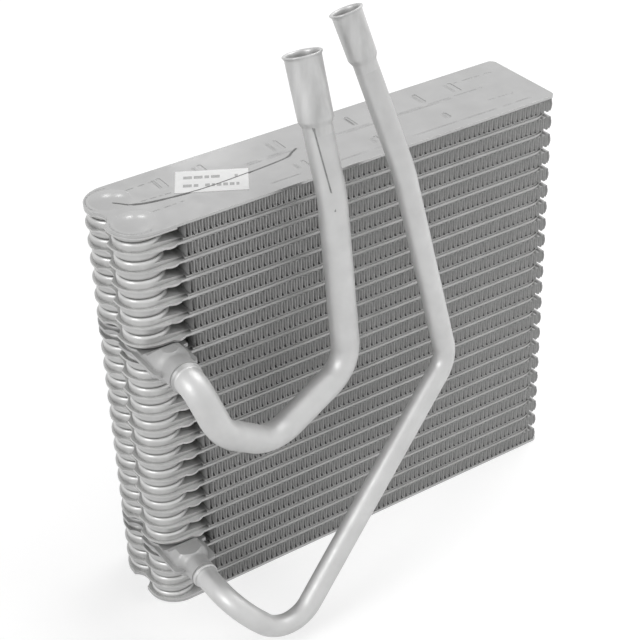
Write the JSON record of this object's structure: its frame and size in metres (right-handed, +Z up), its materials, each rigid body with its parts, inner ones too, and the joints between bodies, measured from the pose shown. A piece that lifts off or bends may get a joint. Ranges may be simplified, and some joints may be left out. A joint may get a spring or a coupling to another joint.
{
  "type": "evaporator core",
  "caption": "Laminated plate-and-fin evaporator core with a tank of drawn cups at one end and two bent refrigerant pipes with belled ends.",
  "frame": {"origin": "middle of the finned pack's length and depth, on the underside of the bottom end plate", "axes": "+Z up through the stack of flow tubes, +X along the fins away from the tank, -Y the front, where the pipes leave"},
  "size_m": [0.2757, 0.1283, 0.3369],
  "materials": {
    "tube_aluminium": "brazed, satin",
    "fin_aluminium": "thin corrugated sheet",
    "plate_aluminium": "brazed, satin",
    "pipe_aluminium": "drawn tube, satin",
    "label_paper": "matt paper"
  },
  "bodies": {
    "root": {"top_end_plate": "plate_aluminium", "bottom_end_plate": "plate_aluminium", "flow_tube_01": "tube_aluminium", "flow_tube_02": "tube_aluminium", "flow_tube_03": "tube_aluminium", "flow_tube_04": "tube_aluminium", "flow_tube_05": "tube_aluminium", "flow_tube_06": "tube_aluminium", "flow_tube_07": "tube_aluminium", "flow_tube_08": "tube_aluminium", "flow_tube_09": "tube_aluminium", "flow_tube_10": "tube_aluminium", "flow_tube_11": "tube_aluminium", "flow_tube_12": "tube_aluminium", "flow_tube_13": "tube_aluminium", "flow_tube_14": "tube_aluminium", "flow_tube_15": "tube_aluminium", "flow_tube_16": "tube_aluminium", "flow_tube_17": "tube_aluminium", "flow_tube_18": "tube_aluminium", "flow_tube_19": "tube_aluminium", "flow_tube_20": "tube_aluminium", "flow_tube_21": "tube_aluminium", "fin_01": "fin_aluminium", "fin_02": "fin_aluminium", "fin_03": "fin_aluminium", "fin_04": "fin_aluminium", "fin_05": "fin_aluminium", "fin_06": "fin_aluminium", "fin_07": "fin_aluminium", "fin_08": "fin_aluminium", "fin_09": "fin_aluminium", "fin_10": "fin_aluminium", "fin_11": "fin_aluminium", "fin_12": "fin_aluminium", "fin_13": "fin_aluminium", "fin_14": "fin_aluminium", "fin_15": "fin_aluminium", "fin_16": "fin_aluminium", "fin_17": "fin_aluminium", "fin_18": "fin_aluminium", "fin_19": "fin_aluminium", "fin_20": "fin_aluminium", "fin_21": "fin_aluminium", "fin_22": "fin_aluminium", "top_tank_cap": "tube_aluminium", "bottom_tank_cap": "tube_aluminium", "suction_manifold_upper": "tube_aluminium", "suction_manifold_lower": "tube_aluminium", "liquid_manifold_upper": "tube_aluminium", "liquid_manifold_lower": "tube_aluminium", "suction_pipe": "pipe_aluminium", "liquid_pipe": "pipe_aluminium", "suction_bell": "pipe_aluminium", "liquid_bell": "pipe_aluminium", "label": "label_paper"}
  },
  "joints": []
}
